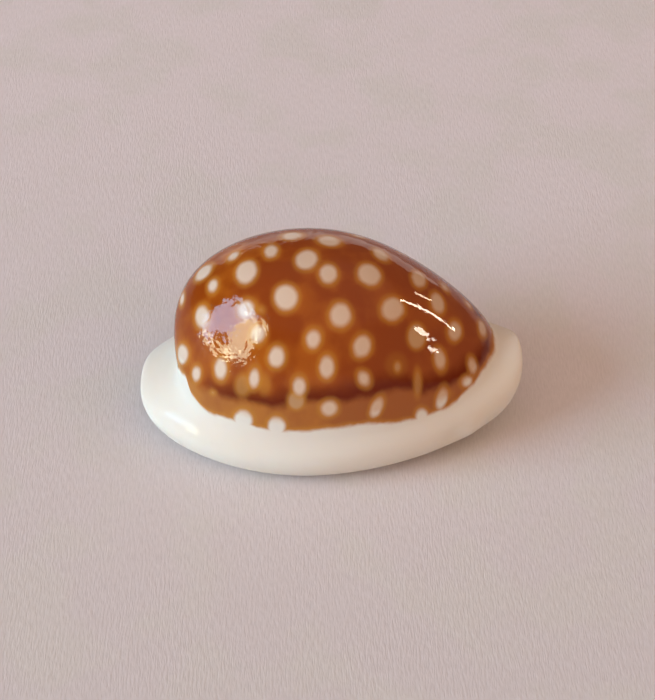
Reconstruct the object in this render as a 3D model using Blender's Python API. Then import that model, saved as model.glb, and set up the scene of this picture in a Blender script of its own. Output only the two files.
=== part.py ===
"""Sieve cowrie shell, 26 mm long, grown as one piece: a thin domed wall that rolls in at the base
round a long narrow mouth with teeth on both lips. The inside is hollow and opens through the mouth.

The front end (siphon canal) points to +X, the outer lip lies on the -Y side and the columella on
the +Y side, the dome is up. The shell stands on z = 0 with its box centred on x = y = 0.
"""

import bmesh
import bpy
import numpy as np

NODE_NAME = "cowrie_shell"

# Driving dimensions of the whole shell, in millimetres.
LENGTH = 26.0
WIDTH = 16.25
HEIGHT = 13.4
METRES_PER_MM = 0.001

# The wall is a smooth surface steered by rings round the shell. They are listed from the top of the
# dome down the outside, under the base, in through the mouth and up the inner wall. Each ring is
# given by its reach in millimetres to the front, back, outer lip and columella, and by its height
# at those four places (front, columella, back, outer lip).
RINGS = (
    ("crown", 3.5, 6.2, 3.9, 3.9, 13.0, 13.05, 13.1, 13.05),
    ("shoulder", 6.75, 9.45, 6.4, 6.3, 10.9, 10.8, 11.0, 10.8),
    ("flank", 9.5, 10.75, 7.5, 7.4, 8.5, 7.9, 7.9, 7.9),
    ("skirt", 11.0, 10.2, 7.8, 7.7, 6.5, 5.3, 5.2, 5.3),
    ("foot", 11.25, 10.3, 7.95, 7.6, 5.6, 4.1, 4.4, 4.1),
    ("callus", 13.2, 13.45, 8.5, 8.1, 5.4, 3.05, 3.2, 3.05),
    ("margin", 13.7, 14.0, 8.6, 8.2, 4.25, 1.95, 2.3, 1.95),
    ("edge", 13.2, 13.2, 8.0, 7.6, 2.9, 0.5, 1.1, 0.5),
    ("crest", 12.6, 12.3, 5.0, 5.2, 1.9, -0.4, 0.5, -0.4),
    ("brow", 12.3, 11.9, 2.5, 2.5, 1.9, 0.2, 0.6, 0.2),
    ("lip", 12.0, 11.6, 0.8, 0.8, 2.3, 1.0, 1.2, 1.0),
    ("throat", 11.4, 11.0, 0.55, 0.55, 2.9, 2.2, 2.3, 2.2),
    ("under_lip", 10.4, 10.2, 2.0, 2.0, 3.6, 3.3, 3.4, 3.3),
    ("inner_floor", 9.8, 8.8, 5.4, 5.2, 4.6, 3.9, 4.1, 3.9),
    ("inner_flank", 8.8, 9.1, 6.6, 6.4, 6.8, 6.4, 6.6, 6.4),
    ("inner_shoulder", 6.0, 8.2, 5.4, 5.3, 10.0, 9.8, 10.2, 9.8),
    ("inner_crown", 3.0, 5.2, 3.2, 3.2, 12.1, 12.15, 12.2, 12.15),
)
DOME_TOP = (-1.2, 0.0, 13.6)
INNER_TOP = (-1.1, 0.0, 12.8)

# How each ring departs from an oval: corner (above 1, blunter ends), straightness (below 1, sides
# that run straight and turn sharply), taper towards the front, pinch at both ends, and slant at the
# front and the back, by which the columella's side is shorter than the lip's.
OVAL = (1.0, 9.0, 0.0, 0.0, 0.0, 0.0)
RING_SHAPES = {
    "shoulder": (1.0, 9.0, 0.02, 0.08, 0.0, -0.6),
    "flank": (1.1, 9.0, 0.06, 0.05, 0.0, 0.0),
    "skirt": (1.3, 1.8, 0.09, 0.05, 0.1, 1.4),
    "foot": (1.7, 1.8, 0.09, 0.08, 0.2, 1.4),
    "callus": (2.0, 9.0, 0.1, 0.16, 1.2, 0.6),
    "margin": (2.0, 9.0, 0.1, 0.22, 1.8, 0.6),
    "edge": (2.0, 9.0, 0.11, 0.22, 1.7, 0.5),
    "crest": (1.6, 1.4, 0.06, 0.05, 0.5, 0.2),
    "brow": (1.2, 0.35, 0.05, 0.0, 0.0, 0.0),
    "lip": (1.0, 0.13, 0.0, 0.0, 0.0, 0.0),
    "throat": (1.0, 0.13, 0.0, 0.0, 0.0, 0.0),
    "under_lip": (1.0, 0.3, 0.0, 0.0, 0.0, 0.0),
    "inner_floor": (1.0, 0.9, 0.08, 0.05, 0.0, 0.0),
    "inner_flank": (1.0, 2.0, 0.07, 0.02, 0.0, 0.0),
    "inner_shoulder": (1.0, 3.0, 0.05, 0.0, 0.0, 0.0),
}

# The canals at the two ends of the mouth: their half width, as the sine of the angle from the
# shell's long axis, then how far each ring rises at the front and the back, and how far it draws
# in lengthwise, in millimetres.
CANAL_WIDTH = 0.2
CANALS = {
    "foot": (0.5, 0.2, 0.2),
    "callus": (1.1, 0.4, 0.7),
    "margin": (2.0, 1.0, 1.0),
    "edge": (2.6, 1.8, 0.9),
    "crest": (3.0, 2.2, 0.7),
    "brow": (2.9, 2.0, 0.7),
    "lip": (2.4, 1.8, 0.6),
    "throat": (1.6, 1.2, 0.3),
    "under_lip": (0.9, 0.6, 0.0),
}

# The mouth isn't straight: it lies a little to the lip's side and curves to the columella's side
# at the back. Each ring near the mouth follows this line by the share given here.
MOUTH_OFFSET = -0.5
MOUTH_BACK_CURVE = 1.6
MOUTH_FRONT_CURVE = 0.5
MOUTH_HALF_LENGTH = 12.5
FOLLOWS_MOUTH = {"crest": 0.6, "brow": 0.9, "lip": 1.0, "throat": 1.0, "under_lip": 1.0}

# Teeth: short ridges across both lips, on this share of the mouth's length.
LIP_TEETH = 17
COLUMELLA_TEETH = 16
TEETH_SHARE = 0.93
TOOTH_HEIGHT = 0.2
BACK_TEETH_LOWER_BY = 0.35
LIP_TEETH_FROM = 9.1
COLUMELLA_TEETH_FROM = 9.5
TEETH_FULL = 1.0
TEETH_TO = 12.6

# Mesh density: facets to each tooth, facets round each end, and the places of the rows, counted
# in rings from the top of the dome (0) to the top of the inside.
FACETS_PER_TOOTH = 4
FACETS_PER_END = 10
DOME_ROWS = (0.4, 0.85, 1.35, 1.9, 2.45, 3.0, 3.5, 4.0, 4.5)
MARGIN_ROWS = (5.0, 5.45, 5.9, 6.4, 6.9, 7.4, 7.9, 8.35, 8.8)
MOUTH_ROWS = (9.2, 9.6, 10.0, 10.4, 10.8, 11.2, 11.6, 12.0, 12.5)
INNER_ROWS = (13.2, 14.2, 15.3, 16.3, 17.3)
BROWN_ROWS_END = 4.6

BROWN_ENAMEL = (0.27, 0.065, 0.012, 1.0)
WHITE_ENAMEL = (0.80, 0.72, 0.62, 1.0)
ENAMEL_ROUGHNESS = 0.12


def mouth_line(x):
    """Middle of the mouth across the shell: offset + back curve * b^2.5 + front curve * f^2,
    where b and f are the distances to the back and front in half mouth lengths."""
    back = np.clip(-x / MOUTH_HALF_LENGTH, 0.0, None)
    front = np.clip(x / MOUTH_HALF_LENGTH, 0.0, None)
    return MOUTH_OFFSET + MOUTH_BACK_CURVE * back ** 2.5 + MOUTH_FRONT_CURVE * front ** 2


def ring_points(ring, around):
    """Points of one ring at the angles given: an oval with its four reaches and heights, whose
    ends are blunted, tapered, pinched and slanted, with a canal at each end."""
    name, front, back, lip, columella, z_front, z_columella, z_back, z_lip = ring
    corner, straight, taper, pinch, front_slant, back_slant = RING_SHAPES.get(name, OVAL)
    angle = np.arctan2(corner * np.sin(around), np.cos(around))
    c, s = np.cos(angle), np.sin(angle)
    slant = np.where(c > 0, front_slant, back_slant)
    x = (front - back) / 2 + (front + back) / 2 * c - slant * s * c
    across = s * np.sqrt(1 + straight ** 2) / np.sqrt(s ** 2 + straight ** 2)
    y = (columella - lip) / 2 * across ** 2 + (columella + lip) / 2 * across
    y = y * (1 - taper * c - pinch * c ** 2)
    z = (z_front + z_back + z_columella + z_lip) / 4
    z = z + (z_front - z_back) / 2 * c + (z_columella - z_lip) / 2 * s
    z = z + (z_front + z_back - z_columella - z_lip) / 4 * np.cos(2 * angle)
    rise_front, rise_back, depth = CANALS.get(name, (0.0, 0.0, 0.0))
    canal = np.exp(-(np.sin(around) / CANAL_WIDTH) ** 2)
    at_front, at_back = canal * (c > 0), canal * (c < 0)
    z = z + rise_front * at_front + rise_back * at_back
    x = x - depth * at_front + depth * at_back
    y = y + FOLLOWS_MOUTH.get(name, 0.0) * mouth_line(x)
    return np.stack([x, y, z], axis=-1)


def smooth_surface(around, along):
    """Uniform cubic B-spline through the rings, from the dome's top to the inner top. One ring
    is carried on past each top from the far side, so both tops are rounded."""
    def column(angles):
        rings = [ring_points(ring, angles) for ring in RINGS]
        tops = [np.tile(top, (len(angles), 1)) for top in (DOME_TOP, INNER_TOP)]
        return np.stack([tops[0], *rings, tops[1]], axis=1)
    near = column(around)
    far = column(around + np.pi)
    cage = np.concatenate([far[:, 1:2], near, far[:, -2:-1]], axis=1)
    first = np.minimum(np.floor(along).astype(int), near.shape[1] - 2)
    f = along - first
    weights = ((1 - f) ** 3, 3 * f ** 3 - 6 * f ** 2 + 4, -3 * f ** 3 + 3 * f ** 2 + 3 * f + 1, f ** 3)
    return sum(cage[:, first + k] * w[None, :, None] / 6 for k, w in enumerate(weights))


def outward_normals(around, along):
    """Unit normals of the smooth surface, from its slopes in the two directions. At the two tops
    there is no slope round the shell, and the normal is left at zero."""
    step = 1e-3
    before = np.clip(along - step, 0.0, len(RINGS) + 1.0)
    after = np.clip(along + step, 0.0, len(RINGS) + 1.0)
    downwards = smooth_surface(around, after) - smooth_surface(around, before)
    sideways = smooth_surface(around + step, along) - smooth_surface(around - step, along)
    normal = np.cross(downwards, sideways)
    return normal / np.maximum(np.linalg.norm(normal, axis=-1, keepdims=True), 1e-12)


def smooth_step(value, start, end):
    """0 before start, 1 after end, and 3f^2 - 2f^3 between."""
    f = np.clip((value - start) / (end - start), 0.0, 1.0)
    return f * f * (3 - 2 * f)


def tooth_relief(around, along):
    """Height of the teeth: a raised cosine wave along each lip, lower towards the back, times a
    window that opens on the base and closes inside the mouth."""
    on_lip = np.sin(around) < 0
    from_front = np.clip((TEETH_SHARE - np.cos(around)) / (2 * TEETH_SHARE), 0.0, 1.0)
    count = np.where(on_lip, LIP_TEETH, COLUMELLA_TEETH)
    wave = 0.5 - 0.5 * np.cos(2 * np.pi * count * from_front)
    wave = wave * (1 - BACK_TEETH_LOWER_BY * from_front)
    start = np.where(on_lip, LIP_TEETH_FROM, COLUMELLA_TEETH_FROM)[:, None]
    window = smooth_step(along[None, :], start, start + TEETH_FULL)
    window = window * (1 - smooth_step(along[None, :], TEETH_TO - TEETH_FULL, TEETH_TO))
    return TOOTH_HEIGHT * wave[:, None] * window


def column_angles():
    """Angles of the mesh columns: even steps along each lip, a whole number to each tooth, and
    even steps of angle round each end."""
    end = np.arccos(TEETH_SHARE)
    columella = np.linspace(TEETH_SHARE, -TEETH_SHARE, COLUMELLA_TEETH * FACETS_PER_TOOTH + 1)
    lip = np.linspace(-TEETH_SHARE, TEETH_SHARE, LIP_TEETH * FACETS_PER_TOOTH + 1)
    back_end = np.linspace(np.pi - end, np.pi + end, FACETS_PER_END + 1)
    front_end = np.linspace(-end, end, FACETS_PER_END + 1)
    parts = [np.arccos(columella), back_end, 2 * np.pi - np.arccos(lip), front_end]
    return np.concatenate([part[:-1] for part in parts])


def shell_points(around, along):
    """The wall with its teeth, flattened where it rests and brought to the driving dimensions."""
    points = smooth_surface(around, along)
    points = points + outward_normals(around, along) * tooth_relief(around, along)[..., None]
    points[..., 2] = np.maximum(points[..., 2], 0.0)
    low = points.min(axis=(0, 1))
    high = points.max(axis=(0, 1))
    middle = np.array([(low[0] + high[0]) / 2, (low[1] + high[1]) / 2, 0.0])
    scale = np.array([LENGTH, WIDTH, HEIGHT]) / (high - low)
    return (points - middle) * scale


def enamel(name, colour):
    """Glossy shell enamel of one colour."""
    material = bpy.data.materials.new(name)
    material.use_nodes = True
    shader = material.node_tree.nodes["Principled BSDF"]
    shader.inputs["Base Color"].default_value = colour
    shader.inputs["Roughness"].default_value = ENAMEL_ROUGHNESS
    shader.inputs["Metallic"].default_value = 0.0
    material.diffuse_color = colour
    return material


def build_shell():
    """Put the surface into one closed mesh: quads between the rows, a fan at each top."""
    around = column_angles()
    rows = np.array(DOME_ROWS + MARGIN_ROWS + MOUTH_ROWS + INNER_ROWS)
    tops = np.array([0.0, len(RINGS) + 1.0])
    points = shell_points(around, np.concatenate([tops[:1], rows, tops[1:]])) * METRES_PER_MM
    bm = bmesh.new()
    top = bm.verts.new(points[:, 0].mean(axis=0))
    inner_top = bm.verts.new(points[:, -1].mean(axis=0))
    grid = [[bm.verts.new(points[i, j]) for i in range(len(around))] for j in range(1, len(rows) + 1)]
    for i in range(len(around)):
        following = (i + 1) % len(around)
        bm.faces.new((top, grid[0][i], grid[0][following]))
        for upper, lower, place in zip(grid, grid[1:], rows):
            face = bm.faces.new((upper[i], lower[i], lower[following], upper[following]))
            face.material_index = int(place > BROWN_ROWS_END)
        bm.faces.new((grid[-1][following], grid[-1][i], inner_top)).material_index = 1
    bmesh.ops.triangulate(bm, faces=bm.faces[:])
    bmesh.ops.recalc_face_normals(bm, faces=bm.faces[:])
    mesh = bpy.data.meshes.new(NODE_NAME)
    bm.to_mesh(mesh)
    bm.free()
    mesh.materials.append(enamel("brown_enamel", BROWN_ENAMEL))
    mesh.materials.append(enamel("white_enamel", WHITE_ENAMEL))
    mesh.shade_smooth()
    shell = bpy.data.objects.new(NODE_NAME, mesh)
    bpy.context.scene.collection.objects.link(shell)
    return shell


for old in list(bpy.data.objects):
    bpy.data.objects.remove(old, do_unlink=True)
build_shell()
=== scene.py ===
"""A sieve cowrie shell lying on pale paper beside a window: amber brown dome with white spots, thick
ivory margin and base, long toothed mouth underneath. The CAD solid gives the size and place."""

import math

import bpy
import numpy as np
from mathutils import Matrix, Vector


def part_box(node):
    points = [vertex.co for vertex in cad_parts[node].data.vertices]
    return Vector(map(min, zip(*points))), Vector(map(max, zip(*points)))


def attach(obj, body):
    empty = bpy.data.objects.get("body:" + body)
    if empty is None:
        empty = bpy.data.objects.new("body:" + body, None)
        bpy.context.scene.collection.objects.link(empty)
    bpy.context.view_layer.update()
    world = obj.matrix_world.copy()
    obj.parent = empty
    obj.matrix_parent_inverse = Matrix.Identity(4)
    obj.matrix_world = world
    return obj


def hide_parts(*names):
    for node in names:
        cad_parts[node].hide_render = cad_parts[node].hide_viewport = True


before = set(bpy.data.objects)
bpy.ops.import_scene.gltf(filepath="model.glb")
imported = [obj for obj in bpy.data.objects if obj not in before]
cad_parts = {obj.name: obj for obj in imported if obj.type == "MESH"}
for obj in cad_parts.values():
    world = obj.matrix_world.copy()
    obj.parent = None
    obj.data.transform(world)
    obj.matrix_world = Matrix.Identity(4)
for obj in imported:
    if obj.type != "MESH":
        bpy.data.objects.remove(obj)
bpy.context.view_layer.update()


# Camera: it looks across the outer lip's side of the shell, from 41 degrees above the table and
# 130 mm away. Markings read off the picture are put on the shell through the same lens.
MM = 0.001
PICTURE_WIDTH, PICTURE_HEIGHT = 655, 700
CAMERA_ELEVATION = math.radians(41.0)
CAMERA_DISTANCE = 130 * MM
CAMERA_TARGET = np.array([0.0, 0.15, 5.0]) * MM
TARGET_PIXEL = (330.5, 352.0)
PIXELS_PER_METRE = 14.63 / MM
SENSOR = 36.0

to_camera = np.array([0.0, -math.cos(CAMERA_ELEVATION), math.sin(CAMERA_ELEVATION)])
camera_right = np.array([1.0, 0.0, 0.0])
camera_up = np.cross(to_camera, camera_right)
camera_place = CAMERA_TARGET + to_camera * CAMERA_DISTANCE

camera_data = bpy.data.cameras.new("camera")
camera_data.sensor_width = SENSOR
camera_data.lens = PIXELS_PER_METRE * CAMERA_DISTANCE / PICTURE_HEIGHT * SENSOR
camera_data.shift_x = (PICTURE_WIDTH / 2 - TARGET_PIXEL[0]) / PICTURE_HEIGHT
camera_data.shift_y = (TARGET_PIXEL[1] - PICTURE_HEIGHT / 2) / PICTURE_HEIGHT
camera_data.clip_start = 1 * MM
camera = bpy.data.objects.new("camera", camera_data)
camera.location = camera_place
camera.rotation_euler = (math.pi / 2 - CAMERA_ELEVATION, 0.0, 0.0)
bpy.context.scene.collection.objects.link(camera)
bpy.context.scene.camera = camera


def picture_places(points):
    """Pixel (right, down) and depth of points in metres: offsets along the camera's right and up,
    over the depth, times the focal length in pixels."""
    offset = points - camera_place
    depth = -(offset @ to_camera)
    focal = PIXELS_PER_METRE * CAMERA_DISTANCE
    right = TARGET_PIXEL[0] + focal * (offset @ camera_right) / depth
    down = TARGET_PIXEL[1] - focal * (offset @ camera_up) / depth
    return np.stack([right, down], axis=-1), depth


# Shell wall: one piece of aragonite that the animal grew, coated with glossy enamel. It is a smooth
# surface steered by rings, from the top of the dome down the outside, round the margin and base, in
# through the mouth and up the inside.

# Each ring: reach in millimetres to the front, back, outer lip and columella, then height at the
# front, columella, back and outer lip.
SHELL_RINGS = (
    ("crown", 3.5, 6.2, 3.9, 3.9, 13.0, 13.05, 13.1, 13.05),
    ("shoulder", 6.75, 9.45, 6.4, 6.3, 10.9, 10.8, 11.0, 10.8),
    ("flank", 9.5, 10.75, 7.5, 7.4, 8.5, 7.9, 7.9, 7.9),
    ("skirt", 11.0, 10.2, 7.8, 7.7, 6.5, 5.3, 5.2, 5.3),
    ("foot", 11.25, 10.3, 7.95, 7.6, 5.6, 4.1, 4.4, 4.1),
    ("callus", 13.2, 13.45, 8.5, 8.1, 5.4, 3.05, 3.2, 3.05),
    ("margin", 13.7, 14.0, 8.6, 8.2, 4.25, 1.95, 2.3, 1.95),
    ("edge", 13.2, 13.2, 8.0, 7.6, 2.9, 0.5, 1.1, 0.5),
    ("crest", 12.6, 12.3, 5.0, 5.2, 1.9, -0.4, 0.5, -0.4),
    ("brow", 12.3, 11.9, 2.5, 2.5, 1.9, 0.2, 0.6, 0.2),
    ("lip", 12.0, 11.6, 0.8, 0.8, 2.3, 1.0, 1.2, 1.0),
    ("throat", 11.4, 11.0, 0.55, 0.55, 2.9, 2.2, 2.3, 2.2),
    ("under_lip", 10.4, 10.2, 2.0, 2.0, 3.6, 3.3, 3.4, 3.3),
    ("inner_floor", 9.8, 8.8, 5.4, 5.2, 4.6, 3.9, 4.1, 3.9),
    ("inner_flank", 8.8, 9.1, 6.6, 6.4, 6.8, 6.4, 6.6, 6.4),
    ("inner_shoulder", 6.0, 8.2, 5.4, 5.3, 10.0, 9.8, 10.2, 9.8),
    ("inner_crown", 3.0, 5.2, 3.2, 3.2, 12.1, 12.15, 12.2, 12.15),
)
DOME_TOP = (-1.2, 0.0, 13.6)
INNER_TOP = (-1.1, 0.0, 12.8)
# Corner, straightness, taper, pinch and front and back slant of each ring that isn't an oval.
PLAIN_OVAL = (1.0, 9.0, 0.0, 0.0, 0.0, 0.0)
RING_SHAPES = {
    "shoulder": (1.0, 9.0, 0.02, 0.08, 0.0, -0.6),
    "flank": (1.1, 9.0, 0.06, 0.05, 0.0, 0.0),
    "skirt": (1.3, 1.8, 0.09, 0.05, 0.1, 1.4),
    "foot": (1.7, 1.8, 0.09, 0.08, 0.2, 1.4),
    "callus": (2.0, 9.0, 0.1, 0.16, 1.2, 0.6),
    "margin": (2.0, 9.0, 0.1, 0.22, 1.8, 0.6),
    "edge": (2.0, 9.0, 0.11, 0.22, 1.7, 0.5),
    "crest": (1.6, 1.4, 0.06, 0.05, 0.5, 0.2),
    "brow": (1.2, 0.35, 0.05, 0.0, 0.0, 0.0),
    "lip": (1.0, 0.13, 0.0, 0.0, 0.0, 0.0),
    "throat": (1.0, 0.13, 0.0, 0.0, 0.0, 0.0),
    "under_lip": (1.0, 0.3, 0.0, 0.0, 0.0, 0.0),
    "inner_floor": (1.0, 0.9, 0.08, 0.05, 0.0, 0.0),
    "inner_flank": (1.0, 2.0, 0.07, 0.02, 0.0, 0.0),
    "inner_shoulder": (1.0, 3.0, 0.05, 0.0, 0.0, 0.0),
}
# Canals at the ends of the mouth: half width as the sine of the angle from the long axis, then
# rise at the front and back, and how far each ring draws in.
CANAL_WIDTH = 0.2
CANALS = {
    "foot": (0.5, 0.2, 0.2),
    "callus": (1.1, 0.4, 0.7),
    "margin": (2.0, 1.0, 1.0),
    "edge": (2.6, 1.8, 0.9),
    "crest": (3.0, 2.2, 0.7),
    "brow": (2.9, 2.0, 0.7),
    "lip": (2.4, 1.8, 0.6),
    "throat": (1.6, 1.2, 0.3),
    "under_lip": (0.9, 0.6, 0.0),
}
# Middle line of the mouth, and the share of it that each ring near the mouth follows.
MOUTH_OFFSET = -0.5
MOUTH_BACK_CURVE = 1.6
MOUTH_FRONT_CURVE = 0.5
MOUTH_HALF_LENGTH = 12.5
FOLLOWS_MOUTH = {"crest": 0.6, "brow": 0.9, "lip": 1.0, "throat": 1.0, "under_lip": 1.0}
# Teeth on both lips.
LIP_TEETH = 17
COLUMELLA_TEETH = 16
TEETH_SHARE = 0.93
TOOTH_HEIGHT = 0.2
BACK_TEETH_LOWER_BY = 0.35
LIP_TEETH_FROM = 9.1
COLUMELLA_TEETH_FROM = 9.5
TEETH_FULL = 1.0
TEETH_TO = 12.6
# Grid: facets to a tooth and round each end, and rows over the dome, margin, lips and inside.
FACETS_PER_TOOTH = 10
FACETS_PER_END = 44
DOME_ROWS = np.linspace(0.05, 4.95, 104)
MARGIN_ROWS = np.linspace(5.0, 8.9, 44)
LIP_ROWS = np.linspace(9.0, 12.6, 46)
INSIDE_ROWS = np.linspace(12.75, 17.9, 24)


def mouth_line(x):
    """Middle of the mouth across the shell: offset + back curve * b^2.5 + front curve * f^2,
    where b and f are the distances to the back and front in half mouth lengths."""
    back = np.clip(-x / MOUTH_HALF_LENGTH, 0.0, None)
    front = np.clip(x / MOUTH_HALF_LENGTH, 0.0, None)
    return MOUTH_OFFSET + MOUTH_BACK_CURVE * back ** 2.5 + MOUTH_FRONT_CURVE * front ** 2


def ring_points(ring, around):
    """Points of one ring at the angles given: an oval with its four reaches and heights, whose
    ends are blunted, tapered, pinched and slanted, with a canal at each end."""
    name, front, back, lip, columella, z_front, z_columella, z_back, z_lip = ring
    corner, straight, taper, pinch, front_slant, back_slant = RING_SHAPES.get(name, PLAIN_OVAL)
    angle = np.arctan2(corner * np.sin(around), np.cos(around))
    c, s = np.cos(angle), np.sin(angle)
    slant = np.where(c > 0, front_slant, back_slant)
    x = (front - back) / 2 + (front + back) / 2 * c - slant * s * c
    across = s * np.sqrt(1 + straight ** 2) / np.sqrt(s ** 2 + straight ** 2)
    y = (columella - lip) / 2 * across ** 2 + (columella + lip) / 2 * across
    y = y * (1 - taper * c - pinch * c ** 2)
    z = (z_front + z_back + z_columella + z_lip) / 4
    z = z + (z_front - z_back) / 2 * c + (z_columella - z_lip) / 2 * s
    z = z + (z_front + z_back - z_columella - z_lip) / 4 * np.cos(2 * angle)
    rise_front, rise_back, depth = CANALS.get(name, (0.0, 0.0, 0.0))
    canal = np.exp(-(np.sin(around) / CANAL_WIDTH) ** 2)
    at_front, at_back = canal * (c > 0), canal * (c < 0)
    z = z + rise_front * at_front + rise_back * at_back
    x = x - depth * at_front + depth * at_back
    y = y + FOLLOWS_MOUTH.get(name, 0.0) * mouth_line(x)
    return np.stack([x, y, z], axis=-1)


def smooth_surface(around, along):
    """Uniform cubic B-spline through the rings at places counted in rings from the dome's top.
    One ring is carried on past each top from the far side, so both tops are rounded."""
    def column(angles):
        """Points that steer the surface, from the dome's top to the inner top, at each angle."""
        rings = [ring_points(ring, angles) for ring in SHELL_RINGS]
        tops = [np.tile(top, (len(angles), 1)) for top in (DOME_TOP, INNER_TOP)]
        return np.stack([tops[0], *rings, tops[1]], axis=1)
    near = column(around)
    far = column(around + np.pi)
    cage = np.concatenate([far[:, 1:2], near, far[:, -2:-1]], axis=1)
    first = np.minimum(np.floor(along).astype(int), near.shape[1] - 2)
    f = along - first
    weights = ((1 - f) ** 3, 3 * f ** 3 - 6 * f ** 2 + 4, -3 * f ** 3 + 3 * f ** 2 + 3 * f + 1, f ** 3)
    return sum(cage[:, first + k] * w[None, :, None] / 6 for k, w in enumerate(weights))


def outward_normals(around, along):
    """Unit normals: cross product of the surface's slopes down a column and round a row."""
    step = 1e-3
    downwards = smooth_surface(around, along + step) - smooth_surface(around, along - step)
    sideways = smooth_surface(around + step, along) - smooth_surface(around - step, along)
    normal = np.cross(downwards, sideways)
    return normal / np.maximum(np.linalg.norm(normal, axis=-1, keepdims=True), 1e-12)


def smooth_step(value, start, end):
    """0 before start, 1 after end, and 3f^2 - 2f^3 between."""
    f = np.clip((value - start) / (end - start), 0.0, 1.0)
    return f * f * (3 - 2 * f)


def tooth_relief(around, along):
    """Height of the teeth: a raised cosine wave along each lip, lower towards the back, times a
    window that opens on the base and closes inside the mouth."""
    on_lip = np.sin(around) < 0
    from_front = np.clip((TEETH_SHARE - np.cos(around)) / (2 * TEETH_SHARE), 0.0, 1.0)
    count = np.where(on_lip, LIP_TEETH, COLUMELLA_TEETH)
    wave = 0.5 - 0.5 * np.cos(2 * np.pi * count * from_front)
    wave = wave * (1 - BACK_TEETH_LOWER_BY * from_front)
    start = np.where(on_lip, LIP_TEETH_FROM, COLUMELLA_TEETH_FROM)[:, None]
    window = smooth_step(along[None, :], start, start + TEETH_FULL)
    window = window * (1 - smooth_step(along[None, :], TEETH_TO - TEETH_FULL, TEETH_TO))
    return TOOTH_HEIGHT * wave[:, None] * window


def column_angles():
    """Angles of the grid's columns: even steps along each lip, a whole number to each tooth, and
    even steps of angle round each end."""
    end = np.arccos(TEETH_SHARE)
    columella = np.linspace(TEETH_SHARE, -TEETH_SHARE, COLUMELLA_TEETH * FACETS_PER_TOOTH + 1)
    lip = np.linspace(-TEETH_SHARE, TEETH_SHARE, LIP_TEETH * FACETS_PER_TOOTH + 1)
    back_end = np.linspace(np.pi - end, np.pi + end, FACETS_PER_END + 1)
    front_end = np.linspace(-end, end, FACETS_PER_END + 1)
    parts = [np.arccos(columella), back_end, 2 * np.pi - np.arccos(lip), front_end]
    return np.concatenate([part[:-1] for part in parts])


around = column_angles()
along = np.concatenate([DOME_ROWS, MARGIN_ROWS, LIP_ROWS, INSIDE_ROWS])
tooth_height = tooth_relief(around, along)
wall_normals = outward_normals(around, along)
wall = smooth_surface(around, along) + wall_normals * tooth_height[..., None]
wall[..., 2] = np.maximum(wall[..., 2], 0.0)
tops = smooth_surface(around, np.array([0.0, len(SHELL_RINGS) + 1.0])).mean(axis=0)

# The wall is fitted to the CAD solid's box, which turns millimetres into metres.
box_low, box_high = (np.array(corner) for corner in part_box("cowrie_shell"))
wall_low = wall.min(axis=(0, 1))
wall_high = np.maximum(wall.max(axis=(0, 1)), tops[0])
fit = (box_high - box_low) / (wall_high - wall_low)
wall = (wall - wall_low) * fit + box_low
tops = (tops - wall_low) * fit + box_low

# Where the wall shows in the picture. Only the outside, down to this ring place, carries markings.
MARKED_RINGS = 7.5
# A distance too long to count.
FAR_AWAY = 99.0
# A point counts as seen at a pixel within this many pixels of it, or this many further than the
# nearest point, and no further than this behind the one nearest to the camera.
SEEN_WITHIN = 2.0
SEEN_FURTHER = 0.5
SEEN_BEHIND = 1 * MM
pixels, depth = picture_places(wall)
outer_side = along[None, :] < MARKED_RINGS
to_view = camera_place - wall
to_view = to_view / np.linalg.norm(to_view, axis=-1, keepdims=True)
facing = (to_view * wall_normals).sum(axis=-1)


def place_seen(pixel_right, pixel_down):
    """Grid place (column, row) of the wall seen at a pixel: of the outer points near it that face
    the camera, those nearest to the camera, and of them the one nearest to the pixel."""
    gap = np.hypot(pixels[..., 0] - pixel_right, pixels[..., 1] - pixel_down)
    shown = (facing > 0) & outer_side
    near = shown & (gap < max(SEEN_WITHIN, gap[shown].min() + SEEN_FURTHER))
    front = near & (depth < depth[near].min() + SEEN_BEHIND)
    return np.unravel_index(np.where(front, gap, FAR_AWAY).argmin(), gap.shape)


# Unevenness of the margin: place in the picture, radius and height (below 0, a hollow) in
# millimetres. A swelling is height * exp(-(distance / radius)^2) along the wall's normal.
UNEVEN_SEEN = ((470, 430, 0.8, 0.14), (454, 436, 0.8, -0.12), (486, 424, 0.9, -0.07))
# Where the margin's enamel is polished clear: place in the picture and radius in millimetres.
POLISHED_SEEN = (
    (168, 414, 0.22), (174, 417, 0.24), (181, 421, 0.24), (188, 425, 0.26), (195, 430, 0.22),
    (212, 442, 0.16), (218, 444, 0.16), (491, 364, 0.3), (496, 398, 0.35), (470, 414, 0.35),
)


def share_near(right, down, radius):
    """Share from 1 at the wall point seen at a pixel towards 0: exp(-(distance / radius)^2)."""
    distance = np.linalg.norm(wall - wall[place_seen(right, down)], axis=-1)
    return np.exp(-(distance / (radius * MM)) ** 2)


relief = sum(height * MM * share_near(*place) for *place, height in UNEVEN_SEEN)
polish = np.max([share_near(*place) for place in POLISHED_SEEN], axis=0)
wall = wall + wall_normals * relief[..., None]

columns, rows = wall.shape[:2]
index = np.arange(columns * rows).reshape(columns, rows)
following = np.roll(index, -1, axis=0)
quads = np.stack([index[:, :-1], index[:, 1:], following[:, 1:], following[:, :-1]], axis=-1)
top_point, inner_point = columns * rows, columns * rows + 1
dome_fan = np.stack([np.full(columns, top_point), index[:, 0], following[:, 0]], axis=-1)
inner_fan = np.stack([following[:, -1], index[:, -1], np.full(columns, inner_point)], axis=-1)
faces = quads.reshape(-1, 4).tolist() + dome_fan.tolist() + inner_fan.tolist()
shell_mesh = bpy.data.meshes.new("cowrie_shell_enamelled")
shell_mesh.from_pydata(np.vstack([wall.reshape(-1, 3), tops]).tolist(), [], faces)
shell_mesh.shade_smooth()
shell = bpy.data.objects.new("cowrie_shell_enamelled", shell_mesh)
bpy.context.scene.collection.objects.link(shell)

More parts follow.
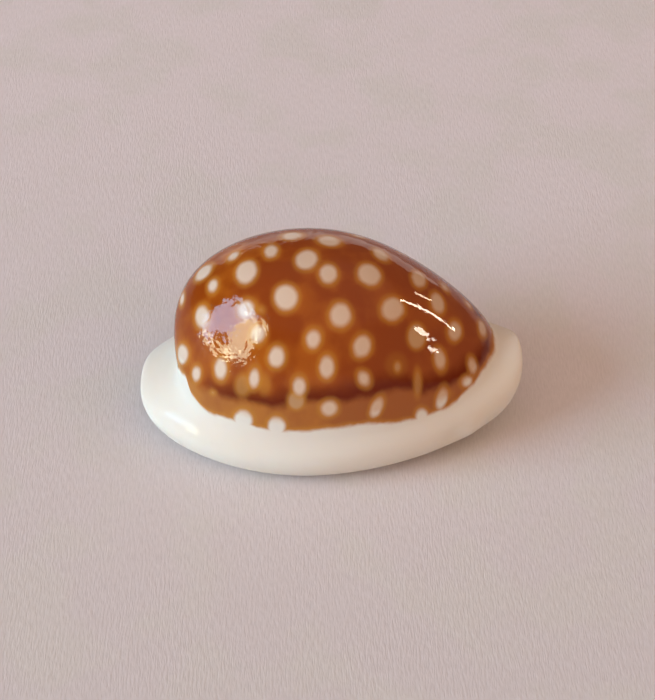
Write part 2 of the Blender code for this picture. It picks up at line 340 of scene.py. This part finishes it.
# Markings: the mantle laid a tan coat over the white wall and a darker brown one over that, and
# left holes in them. Places and sizes are pixels read off the picture, and the camera's own lens
# puts them on the wall.

# White spots: centre right and down, long and short diameter, and the long one's tilt in degrees
# from the right towards up. The last five open into the white margin.
SPOTS_SEEN = (
    (292, 235.3, 21, 8.5, 5), (329, 240.3, 23, 10, -8), (271.5, 251.5, 15, 13, 35),
    (233, 256, 13, 6.5, 40), (203, 272, 22, 11, 45), (213, 285, 14, 9.5, 70),
    (246.5, 271, 25, 20, 55), (306.5, 259.5, 23, 20, 20), (328.5, 274, 19.5, 18, 90),
    (286, 298, 27, 24, 90), (181.5, 298.5, 13, 6, 80), (202, 317.5, 23, 14, 85),
    (246, 310, 20, 17, 70), (257, 335, 19, 15, 70), (369, 274, 25, 21, -35),
    (380, 255, 18, 9, -35), (420, 279, 18, 13, -60), (445.3, 287.3, 11, 5, -50),
    (437, 302.5, 22, 13, -72), (393, 309, 24, 23, 90), (340.5, 316, 25, 22, 90),
    (455, 331, 20, 13.5, 90), (482, 328.5, 17, 7.5, -75), (407, 254.5, 15, 5, -25),
    (359, 236.5, 14, 4.5, -15), (468.5, 304.5, 9, 4, -50), (182, 353.5, 20, 11.5, 90),
    (196.5, 373, 15.5, 9, 85), (220.5, 369, 22, 13, 90), (276.5, 357, 22, 17, 80),
    (254.5, 377.5, 20, 11, 85), (313, 340, 20, 15.5, 75), (327.5, 368, 23, 16, 90),
    (299.5, 387, 19, 14, 90), (329, 409, 18, 16, 20), (361.5, 346.5, 24, 18.5, 75),
    (364.5, 378.5, 16, 12, -70), (441, 360, 22, 11.5, -80), (473, 365, 16.5, 8.5, -80),
    (376.5, 407, 22, 12, 65), (243, 420, 22, 20, 90), (276, 427, 22, 19, 90),
    (421.5, 417, 18, 14, 90), (441.5, 399, 24, 11, 75), (466, 382, 12, 10, 60),
)
# Older spots that the coats half cover: the same, and how much of each still shows.
OLD_SPOTS_SEEN = (
    (296.5, 400, 20, 18, 90, 0.9), (242, 386, 24, 17, 90, 0.6), (264, 385, 22, 13, 90, 0.4),
    (213, 392, 6, 5, 0, 0.8), (261.7, 309.3, 9, 9, 0, 0.6), (416.5, 337, 27, 19, 90, 1.0),
    (397, 367, 14, 9, 90, 0.8), (397, 364, 25, 22, 90, 0.2), (417.5, 384, 31, 9, 90, 0.65),
    (450, 394, 10, 8, 60, 0.3),
)
# Lower edge of the tan coat and of the dark coat, from the back to the front.
TAN_EDGE_SEEN = (
    (179, 369), (184, 375), (189, 381), (190.5, 387), (192, 393), (196, 400), (202, 406), (208, 411),
    (216, 414), (226, 416), (236, 419), (247, 423), (256, 426.5), (270, 428.5), (292, 430.5),
    (312, 430), (325, 428), (340, 426.5), (352, 425), (365, 422.5), (380, 422), (395, 422.5),
    (405, 420.5), (413, 418), (421, 416), (430, 412.5), (438, 409.5), (447, 406), (452, 403),
    (458, 399), (464, 393), (470, 387), (474, 382), (478, 374), (484, 367), (490, 358), (494, 348),
)
DARK_EDGE_SEEN = (
    (181, 366), (190, 379), (196, 385), (205, 388), (213, 389), (221, 396), (232, 399), (245, 399),
    (252, 402), (262, 404), (272, 406), (282, 406), (294, 403), (306, 401), (325, 400), (340, 401),
    (352, 400), (360, 397), (372, 395), (385, 391), (398, 388), (410, 388), (420, 392), (430, 390),
    (440, 388), (450, 385), (458, 380), (465, 376), (472, 371), (480, 366), (489, 352),
)
# On the side turned away from the camera the edges run on at these ring places, as waves of this
# height in rings and so many in a full turn.
HIDDEN_TAN_EDGE = 4.1
HIDDEN_DARK_EDGE = 3.3
HIDDEN_EDGE_WAVE = 0.12
HIDDEN_EDGE_WAVES = 9
# Points of such an edge, and how many are left out where it joins the seen edge.
HIDDEN_EDGE_POINTS = 60
HIDDEN_EDGE_JOIN = 2
# Spots there are scattered: spacing between centres and diameter in millimetres, and length over
# width. They lie above this distance from the tan edge, where the wall's normal has less than this
# cosine to the line of sight.
HIDDEN_SPOT_SPACING = (2.1, 2.9)
HIDDEN_SPOT_SIZE = (0.95, 1.7)
HIDDEN_SPOT_LENGTH = (1.0, 1.5)
HIDDEN_SPOT_TRIES = 5000
HIDDEN_SPOT_SEED = 7
HIDDEN_SPOT_FROM_EDGE = -0.2
HIDDEN_FROM = -0.15
# A seen spot is laid on the wall at most so many times longer than it looks. An old one fades in
# from outside its rim to inside it, in millimetres.
MOST_STRETCH = 2.2
OLD_SPOT_SOFTNESS = (0.28, -0.3)
# Ring places between which the mouth's tint comes in.
MOUTH_TINT_RINGS = (10.6, 13.0)


def spot_seen(right, down, long, short, tilt):
    """Centre, normal and two half axes of a spot: its ellipse in the picture is laid along the
    line of sight on the wall's tangent plane, stretched at most by the limit above."""
    place = place_seen(right, down)
    metres_per_pixel = depth[place] / (PIXELS_PER_METRE * CAMERA_DISTANCE)
    turn = math.radians(tilt)
    normal, view = wall_normals[place], to_view[place]
    axes = []
    for part_right, part_up, diameter in ((math.cos(turn), math.sin(turn), long),
                                          (-math.sin(turn), math.cos(turn), short)):
        flat = part_right * camera_right + part_up * camera_up
        laid = flat - view * (flat @ normal) / (view @ normal)
        laid = laid * min(1.0, MOST_STRETCH / np.linalg.norm(laid))
        axes.append(laid * diameter / 2 * metres_per_pixel)
    return wall[place], normal, axes[0], axes[1]


def gap_to_spot(spot):
    """Distance in millimetres from every wall point to a spot's rim, negative inside: the offset
    is counted in half axes, one is taken off its length, and the mean half axis multiplies it."""
    centre, normal, first, second = spot
    offset = wall - centre
    mean_axis = math.sqrt(np.linalg.norm(first) * np.linalg.norm(second))
    across_first, across_second = np.cross(second, normal), np.cross(normal, first)
    a = offset @ across_first / (first @ across_first)
    b = offset @ across_second / (second @ across_second)
    c = offset @ normal / mean_axis
    gap = (np.sqrt(a ** 2 + b ** 2 + c ** 2) - 1) * mean_axis / MM
    return np.where(outer_side, gap, FAR_AWAY)


def gap_above_edge(edge_seen, hidden_edge):
    """Distance in millimetres above a coat's lower edge: the edge's ring place is interpolated
    round the shell, and the difference in rings is multiplied by the wall's length per ring."""
    places = [place_seen(*pixel) for pixel in edge_seen]
    angles = np.array([around[column] % (2 * np.pi) for column, row in places])
    rings = np.array([along[row] for column, row in places])
    hidden_angles = np.linspace(0.0, angles.min(), HIDDEN_EDGE_POINTS)
    hidden_angles = hidden_angles[HIDDEN_EDGE_JOIN:-HIDDEN_EDGE_JOIN]
    hidden_rings = hidden_edge + HIDDEN_EDGE_WAVE * np.sin(HIDDEN_EDGE_WAVES * hidden_angles)
    angles = np.concatenate([hidden_angles, angles])
    rings = np.concatenate([hidden_rings, rings])
    order = np.argsort(angles)
    edge = np.interp(around % (2 * np.pi), angles[order], rings[order], period=2 * np.pi)
    per_ring = np.linalg.norm(np.gradient(wall, along, axis=1), axis=-1) / MM
    return np.where(outer_side, (edge[:, None] - along[None, :]) * per_ring, -FAR_AWAY)


def hidden_spots(taken, brown):
    """Spots for the brown area that the camera doesn't see: points drawn at random, kept where
    they lie further than a random spacing from every spot already there."""
    draw = np.random.RandomState(HIDDEN_SPOT_SEED)
    open_area = np.argwhere(brown & (facing < HIDDEN_FROM))
    centres = [spot[0] for spot in taken]
    added = []
    for column, row in open_area[draw.randint(0, len(open_area), HIDDEN_SPOT_TRIES)]:
        centre, normal = wall[column, row], wall_normals[column, row]
        spacing = draw.uniform(*HIDDEN_SPOT_SPACING) * MM
        radius = draw.uniform(*HIDDEN_SPOT_SIZE) / 2 * MM
        length = draw.uniform(*HIDDEN_SPOT_LENGTH)
        if all(np.linalg.norm(centre - other) > spacing for other in centres):
            downwards = wall[column, row + 1] - wall[column, row - 1]
            downwards = downwards / np.linalg.norm(downwards)
            sideways = np.cross(normal, downwards)
            added.append((centre, normal, downwards * radius * length, sideways * radius))
            centres.append(centre)
    return added


tan_gap = gap_above_edge(TAN_EDGE_SEEN, HIDDEN_TAN_EDGE)
dark_gap = gap_above_edge(DARK_EDGE_SEEN, HIDDEN_DARK_EDGE)
spots = [spot_seen(*values) for values in SPOTS_SEEN]
spots += hidden_spots(spots, tan_gap > HIDDEN_SPOT_FROM_EDGE)
spot_gap = np.min([gap_to_spot(spot) for spot in spots], axis=0)
old_spots = np.max([strength * smooth_step(gap_to_spot(spot_seen(*values)), *OLD_SPOT_SOFTNESS)
                    for *values, strength in OLD_SPOTS_SEEN], axis=0)
mouth_depth = np.broadcast_to(smooth_step(along, *MOUTH_TINT_RINGS), depth.shape)

# Each marking as a number at every point of the mesh, and its value at the inner top.
markings = {
    "spot_gap": (spot_gap, FAR_AWAY),
    "old_spots": (old_spots, 0.0),
    "tan_gap": (tan_gap, -FAR_AWAY),
    "dark_gap": (dark_gap, -FAR_AWAY),
    "mouth_depth": (mouth_depth, 1.0),
    "polish": (polish, 0.0),
}
for name, (values, inner_value) in markings.items():
    top_value = values[:, 0].mean()
    everywhere = np.concatenate([values.ravel(), [top_value, inner_value]])
    attribute = shell_mesh.attributes.new(name, "FLOAT", "POINT")
    attribute.data.foreach_set("value", everywhere.astype(np.float32))

# Enamel: a clear, hard gloss over the coats of colour, unevenly laid, so that the window's
# reflection in it is crumpled. The white wall under it lets a little light through.
IVORY = (0.80, 0.77, 0.69)
WARM_IVORY = (0.78, 0.71, 0.61)
# Painted shade: the margin's white is duller towards the front end, below the tan edge.
SHADED_FRONT_CREAM = (0.70, 0.665, 0.605)
SPOT_CREAM = (0.69, 0.545, 0.43)
# Painted shade: the spots are darker and warmer towards the front end.
SHADED_FRONT_SPOT_CREAM = (0.58, 0.40, 0.27)
GOLD = (0.52, 0.235, 0.035)
TAN = (0.45, 0.168, 0.030)
RED_TAN = (0.33, 0.105, 0.027)
AMBER = (0.41, 0.104, 0.007)
CHESTNUT = (0.26, 0.044, 0.002)
DARK_BROWN = (0.125, 0.012, 0.001)
# Painted shade: the brown turns duller and redder towards the front end, away from the window.
SHADED_FRONT_BROWN = (0.27, 0.085, 0.035)
OLD_SPOT = (0.50, 0.30, 0.15)
MOUTH_TINT = (0.62, 0.52, 0.47)
# The coats' edges wander by noise of this size, as far as this, in millimetres. Spots and the dark
# coat's edge follow it by these shares.
WANDER_SIZE, WANDER_REACH = 0.8, 0.35
SPOT_WANDER = 0.5
DARK_WANDER = 1.3
# Clouds of deeper colour: size in millimetres, detail and stretch.
CLOUDS = (2.6, 3.0, (1.0, 1.0, 0.6))
WALL_CLOUDS = (5.0,)
# Where one colour gives way to the next: start and end, then the shares there if not 0 and 1.
# Places along the shell and up it, in metres.
# Painted shade: colours darken between these places towards the front end, away from the window, and
# towards the top.
FRONT_SHADE_SPAN = (-8 * MM, 9 * MM)
TOP_SHADE_SPAN = (7 * MM, 13 * MM)
CREAM_SHADE_FRONTWARDS = (-12 * MM, 2 * MM)
BAND_FRONTWARDS = (-9 * MM, -6 * MM, 0.1, 1.0)
# Distances inside an edge in millimetres, below 0 outside it.
# Painted shade: how far below the tan edge the margin's white is duller.
CREAM_SHADE_TO_EDGE = (-3.0, 0.0, 0.6, 0.95)
MARGIN_TO_SPOT = (0.3, 1.3)
DEEPER_OFF_SPOTS = (0.15, 0.8, 0.0, 0.4)
DARK_BAND = (1.9, 0.1, 0.0, 0.97)
TAN_TO_BROWN = (-0.5, 0.4)
GOLD_RIM = (0.45, 0.0, 0.0, 0.52)
BARE_TO_COAT = (-0.3, 0.12)
# Values of noise, of a sum of shares and of an old spot's strength.
WARM_CLOUDS = (0.35, 0.7, 0.0, 0.6)
DEEPER_CLOUDS = (0.32, 0.66)
AMBER_TO_CHESTNUT = (0.1, 1.6)
TAN_TO_RED = (0.4, 0.8)
GOLD_TO_OLD_SPOT = (0.4, 0.95)
# Shares of painted shade: how much the front end and the top are deeper, and the front end duller and
# redder.
SHADE_FRONT_AND_TOP = 0.3
DULLER_SHADED_FRONT = 0.5
REDDER_SHADED_FRONT = 0.5
# Relief of the gloss: size and height in millimetres, and how far its noise is twisted. Ripples and
# folds calm down towards the front end.
SWELL_SIZE, SWELL_HEIGHT, SWELL_TWIST = 1.3, 0.030, 0.4
RIPPLE_SIZE, RIPPLE_HEIGHT = 0.45, 0.022
FOLD_SIZE, FOLD_HEIGHT, FOLD_TWIST = 0.9, 0.045, 0.6
PIT_SIZE, PIT_HEIGHT = 0.25, 0.03
CALM_FRONTWARDS = (-3 * MM, 3 * MM, 1.0, 0.2)
# The gloss ends over this distance inside the tan edge. The margin has little of it, in patches.
GLOSS_EDGE = (-0.3, 0.1)
PATCH_SIZE = 1.6
PATCH_GLOSS = (0.4, 0.65, 0.0, 0.15)
ENAMEL_FINISH = (
    ("Roughness", 0.5),
    ("Specular IOR Level", 0.0),
    ("Subsurface Weight", 0.2),
    ("Subsurface Radius", (1.0, 0.6, 0.4)),
    ("Subsurface Scale", 0.25 * MM),
    ("Coat Roughness", 0.03),
    ("Coat IOR", 1.30),
)


class Nodes:
    """Short words for the nodes of one material or world. Colours and numbers may be sockets or
    values."""

    def __init__(self, owner, shader="Principled BSDF"):
        owner.use_nodes = True
        self.tree = owner.node_tree
        self.shader = self.tree.nodes[shader]

    def fill(self, node, inputs):
        """The node with these inputs, each a name or number with its value or the socket it reads."""
        for name, value in inputs:
            if isinstance(value, bpy.types.NodeSocket):
                self.tree.links.new(value, node.inputs[name])
            else:
                node.inputs[name].default_value = value
        return node

    def add(self, kind, inputs=(), **settings):
        """A new node with these inputs and settings."""
        node = self.tree.nodes.new(kind)
        for name, value in settings.items():
            setattr(node, name, value)
        return self.fill(node, inputs)

    def attribute(self, name):
        """A number that the mesh holds at every point."""
        return self.add("ShaderNodeAttribute", attribute_name=name).outputs["Fac"]

    def place(self):
        """Object coordinates in metres, as outputs X, Y and Z."""
        coordinates = self.add("ShaderNodeTexCoord").outputs["Object"]
        return self.add("ShaderNodeSeparateXYZ", [(0, coordinates)]).outputs

    def maths(self, operation, first, second=0.0):
        """The operation's result on one or two numbers."""
        inputs = [(0, first), (1, second)]
        return self.add("ShaderNodeMath", inputs, operation=operation).outputs[0]

    def plus(self, first, second):
        """The two numbers added."""
        return self.maths("ADD", first, second)

    def times(self, first, second):
        """The two numbers multiplied."""
        return self.maths("MULTIPLY", first, second)

    def step(self, value, start, end, low=0.0, high=1.0):
        """Smooth step from low at start to high at end."""
        limits = [("Value", value), ("From Min", start), ("From Max", end)]
        limits += [("To Min", low), ("To Max", high)]
        node = self.add("ShaderNodeMapRange", limits, interpolation_type="SMOOTHSTEP")
        return node.outputs["Result"]

    def mix(self, share, first, second):
        """Colour between the first and the second by the share."""
        colours = [tuple(c) + (1.0,) if isinstance(c, tuple) else c for c in (first, second)]
        inputs = [(0, share), (6, colours[0]), (7, colours[1])]
        return self.add("ShaderNodeMix", inputs, data_type="RGBA").outputs[2]

    def noise(self, size_mm, detail=2.0, stretch=(1.0, 1.0, 1.0), twist=0.0):
        """Noise from 0 to 1 whose lumps are this many millimetres across, on Object coordinates."""
        coordinates = self.add("ShaderNodeTexCoord").outputs["Object"]
        scaled = self.add("ShaderNodeMapping", [("Vector", coordinates), ("Scale", stretch)])
        inputs = [("Vector", scaled.outputs["Vector"]), ("Scale", 1 / (size_mm * MM))]
        inputs += [("Detail", detail), ("Distortion", twist)]
        return self.add("ShaderNodeTexNoise", inputs).outputs["Fac"]

    def centred(self, noise):
        """Noise from -0.5 to 0.5."""
        return self.maths("SUBTRACT", noise, 0.5)

    def bump(self, height, height_mm, normal=None):
        """Normal of a relief this many millimetres high."""
        inputs = [("Height", height), ("Distance", height_mm * MM), ("Strength", 1.0)]
        if normal is not None:
            inputs.append(("Normal", normal))
        return self.add("ShaderNodeBump", inputs).outputs["Normal"]


def enamel_colour(nodes, place, wander, tan_gap):
    """White wall, tan coat, brown coat darker away from the spots and along its edge, old spots,
    and one golden rim where the coats end at a spot or at the white margin. Painted shade makes the
    white, the spots, the tan and the brown darker towards the front end, and the brown towards the top."""
    spot_gap = nodes.plus(nodes.attribute("spot_gap"), nodes.times(wander, SPOT_WANDER))
    dark_gap = nodes.plus(nodes.attribute("dark_gap"), nodes.times(wander, DARK_WANDER))
    bare_gap = nodes.maths("MINIMUM", spot_gap, tan_gap)
    # Painted shade: darker and warmer towards the front end, and darker towards the top.
    front_shade = nodes.step(place["X"], *FRONT_SHADE_SPAN)
    top_shade = nodes.step(place["Z"], *TOP_SHADE_SPAN)
    cloud = nodes.noise(*CLOUDS)

    white = nodes.mix(nodes.step(nodes.noise(*WALL_CLOUDS), *WARM_CLOUDS), IVORY, WARM_IVORY)
    # Painted shade on the white, towards the front end and near the tan edge.
    creamy_shade = nodes.times(nodes.step(place["X"], *CREAM_SHADE_FRONTWARDS), nodes.step(tan_gap, *CREAM_SHADE_TO_EDGE))
    white = nodes.mix(creamy_shade, white, SHADED_FRONT_CREAM)
    # Painted shade on the spots towards the front end.
    spot_white = nodes.mix(front_shade, SPOT_CREAM, SHADED_FRONT_SPOT_CREAM)
    bare = nodes.mix(nodes.step(tan_gap, *MARGIN_TO_SPOT), white, spot_white)

    deeper = nodes.plus(nodes.step(spot_gap, *DEEPER_OFF_SPOTS), nodes.step(cloud, *DEEPER_CLOUDS))
    deeper = nodes.plus(deeper, nodes.times(nodes.plus(front_shade, top_shade), SHADE_FRONT_AND_TOP))
    brown = nodes.mix(nodes.step(deeper, *AMBER_TO_CHESTNUT), AMBER, CHESTNUT)
    brown = nodes.mix(nodes.times(front_shade, DULLER_SHADED_FRONT), brown, SHADED_FRONT_BROWN)
    dark_band = nodes.times(nodes.step(dark_gap, *DARK_BAND), nodes.step(place["X"], *BAND_FRONTWARDS))
    brown = nodes.mix(dark_band, brown, DARK_BROWN)

    redder = nodes.plus(cloud, nodes.times(front_shade, REDDER_SHADED_FRONT))
    tan_coat = nodes.mix(nodes.step(redder, *TAN_TO_RED), TAN, RED_TAN)
    coat = nodes.mix(nodes.step(dark_gap, *TAN_TO_BROWN), tan_coat, brown)
    old_spots = nodes.attribute("old_spots")
    old_spot_colour = nodes.mix(nodes.step(old_spots, *GOLD_TO_OLD_SPOT), GOLD, OLD_SPOT)
    coat = nodes.mix(old_spots, coat, old_spot_colour)
    coat = nodes.mix(nodes.step(bare_gap, *GOLD_RIM), coat, GOLD)
    colour = nodes.mix(nodes.step(bare_gap, *BARE_TO_COAT), bare, coat)
    return nodes.mix(nodes.attribute("mouth_depth"), colour, MOUTH_TINT)


def gloss_relief(nodes, place, polish):
    """Normal of the gloss: swells, then ripples, then folds as the size of noise about 0, so that
    they have sharp creases, and pits on the polished places."""
    calm = nodes.step(place["X"], *CALM_FRONTWARDS)
    normal = nodes.bump(nodes.noise(SWELL_SIZE, 1.0, twist=SWELL_TWIST), SWELL_HEIGHT)
    normal = nodes.bump(nodes.times(nodes.noise(RIPPLE_SIZE), calm), RIPPLE_HEIGHT, normal)
    fold = nodes.maths("ABSOLUTE", nodes.centred(nodes.noise(FOLD_SIZE, 1.0, twist=FOLD_TWIST)))
    normal = nodes.bump(nodes.times(fold, calm), FOLD_HEIGHT, normal)
    return nodes.bump(nodes.times(nodes.noise(PIT_SIZE, 1.0), polish), PIT_HEIGHT, normal)


def shell_enamel():
    """Colours of the wall and coats under a clear gloss, which covers the coats and the polished
    places and is thin and patchy on the rest of the margin."""
    material = bpy.data.materials.new("shell_enamel")
    nodes = Nodes(material)
    place = nodes.place()
    polish = nodes.attribute("polish")
    wander = nodes.times(nodes.centred(nodes.noise(WANDER_SIZE)), WANDER_REACH)
    tan_gap = nodes.plus(nodes.attribute("tan_gap"), wander)
    margin_gloss = nodes.maths("MAXIMUM", nodes.step(nodes.noise(PATCH_SIZE), *PATCH_GLOSS), polish)
    nodes.fill(nodes.shader, [
        ("Base Color", enamel_colour(nodes, place, wander, tan_gap)),
        ("Coat Normal", gloss_relief(nodes, place, polish)),
        ("Coat Weight", nodes.step(tan_gap, *GLOSS_EDGE, low=margin_gloss)),
        *ENAMEL_FINISH,
    ])
    return material


shell_mesh.materials.append(shell_enamel())
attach(shell, "root")
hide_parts("cowrie_shell")


# Table: a sheet of pale paper with a fine fibrous grain, lying level under the shell. Painted
# light makes it a little paler towards its far side.
PAPER_REACH = 2.0
PAPER_NEAR = (0.66, 0.62, 0.63)
# Painted light: the paler colour of the far side.
PAPER_FAR_LIT = (0.75, 0.69, 0.71)
PAPER_GREY = (0.67, 0.65, 0.62)
LIT_NEAR_TO_FAR = (-0.04, 0.06)
# Greyer patches and fibres: size in millimetres, detail and stretch, then the step of their noise.
PATCHES = (7.0, 3.0)
PATCH_GREY = (0.45, 0.62, 0.0, 0.5)
GRAIN = (0.13, 2.0, (1.0, 0.16, 1.0))
GRAIN_SHADE = (0.2, 0.8, 0.91, 1.0)
GRAIN_HEIGHT = 0.03
PAPER_FINISH = (("Roughness", 0.75), ("Specular IOR Level", 0.2))


def paper():
    """Pale paper with a fibrous grain in colour and relief, and painted light towards its far side."""
    material = bpy.data.materials.new("pale_paper")
    nodes = Nodes(material)
    grain = nodes.noise(*GRAIN)
    # Painted light: the paper is paler towards its far side.
    colour = nodes.mix(nodes.step(nodes.place()["Y"], *LIT_NEAR_TO_FAR), PAPER_NEAR, PAPER_FAR_LIT)
    colour = nodes.mix(nodes.step(nodes.noise(*PATCHES), *PATCH_GREY), colour, PAPER_GREY)
    shaded = [(0, colour), (1, nodes.step(grain, *GRAIN_SHADE))]
    colour = nodes.add("ShaderNodeVectorMath", shaded, operation="MULTIPLY").outputs[0]
    relief = nodes.bump(grain, GRAIN_HEIGHT)
    nodes.fill(nodes.shader, [("Base Color", colour), ("Normal", relief), *PAPER_FINISH])
    return material


table_mesh = bpy.data.meshes.new("table")
corners = [(x * PAPER_REACH, y * PAPER_REACH, 0.0) for x, y in ((-1, -1), (1, -1), (1, 1), (-1, 1))]
table_mesh.from_pydata(corners, [], [(0, 1, 2, 3)])
table_mesh.materials.append(paper())
table = bpy.data.objects.new("table", table_mesh)
bpy.context.scene.collection.objects.link(table)


# Light: soft daylight from a window on the left, soft warm room light from the right and above,
# and bright panels that only the gloss shows: window panes, thin gaps and a pale wall behind.

# Each light: name, azimuth and elevation of its middle, width and height in degrees, radiance,
# colour, and whether it lights the scene or only shows in the gloss. All are this many metres away.
LIGHT_DISTANCE = 1.1
LIGHTS = (
    ("daylight", -70, 21, 34, 36, 8.4, (0.58, 0.82, 1.00), True),
    ("room_light", 25, 50, 100, 70, 0.86, (1.00, 0.66, 0.44), True),
    ("sky_pane", -77, 31, 28, 36, 18.0, (0.40, 0.68, 1.00), False),
    ("sky_pane_low", -82, 8, 16, 11, 17.0, (0.42, 0.68, 1.00), False),
    ("bright_pane", -54, 22, 18, 42, 19.5, (1.00, 1.00, 0.70), False),
    ("bright_sill", -68, 3, 32, 6, 19.5, (1.00, 0.98, 0.66), False),
    ("right_gap", 103, 29, 2.4, 22, 60.0, (1.00, 0.88, 0.66), False),
    ("thin_gap", 120, 26, 1.0, 8, 50.0, (1.00, 0.80, 0.55), False),
    ("low_gap", 72, 17, 4.0, 3.0, 46.0, (1.00, 0.92, 0.78), False),
    ("small_gap", 79, 25, 4.0, 4.5, 40.0, (1.00, 0.92, 0.78), False),
    ("back_wall", 178, 9, 64, 18, 1.3, (1.00, 0.93, 0.87), False),
)


def place_light(name, azimuth, elevation, width, height, radiance, colour, lights_scene):
    """A flat panel facing the shell. Its power is radiance times pi times its area."""
    azimuth, elevation = math.radians(azimuth), math.radians(elevation)
    outward = np.array([math.sin(azimuth) * math.cos(elevation),
                        -math.cos(azimuth) * math.cos(elevation), math.sin(elevation)])
    data = bpy.data.lights.new(name, "AREA")
    data.shape = "RECTANGLE"
    data.size = 2 * LIGHT_DISTANCE * math.tan(math.radians(width) / 2)
    data.size_y = 2 * LIGHT_DISTANCE * math.tan(math.radians(height) / 2)
    data.color = colour
    data.energy = radiance * math.pi * data.size * data.size_y
    light = bpy.data.objects.new(name, data)
    light.location = outward * LIGHT_DISTANCE
    light.rotation_euler = (math.pi / 2 - elevation, 0.0, azimuth)
    light.visible_diffuse = lights_scene
    light.visible_glossy = not lights_scene
    bpy.context.scene.collection.objects.link(light)


for light_values in LIGHTS:
    place_light(*light_values)


# Room: warm dim walls all round and a paler ceiling, which fill the shadows and show in the gloss.
# The ceiling comes in between two heights of the direction looked in, where 1 is straight up.
WALL_COLOUR = (0.20, 0.13, 0.10)
CEILING_COLOUR = (0.40, 0.33, 0.31)
CEILING_FROM, CEILING_FULL = 0.64, 0.72

room = bpy.data.worlds.new("room")
bpy.context.scene.world = room
room_nodes = Nodes(room, "Background")
direction = room_nodes.add("ShaderNodeTexCoord").outputs["Generated"]
height = room_nodes.add("ShaderNodeSeparateXYZ", [(0, direction)]).outputs["Z"]
limits = [("Value", height), ("From Min", CEILING_FROM), ("From Max", CEILING_FULL)]
ceiling = room_nodes.add("ShaderNodeMapRange", limits).outputs["Result"]
room_nodes.fill(room_nodes.shader, [("Color", room_nodes.mix(ceiling, WALL_COLOUR, CEILING_COLOUR))])
bpy.context.scene.view_settings.view_transform = "Standard"
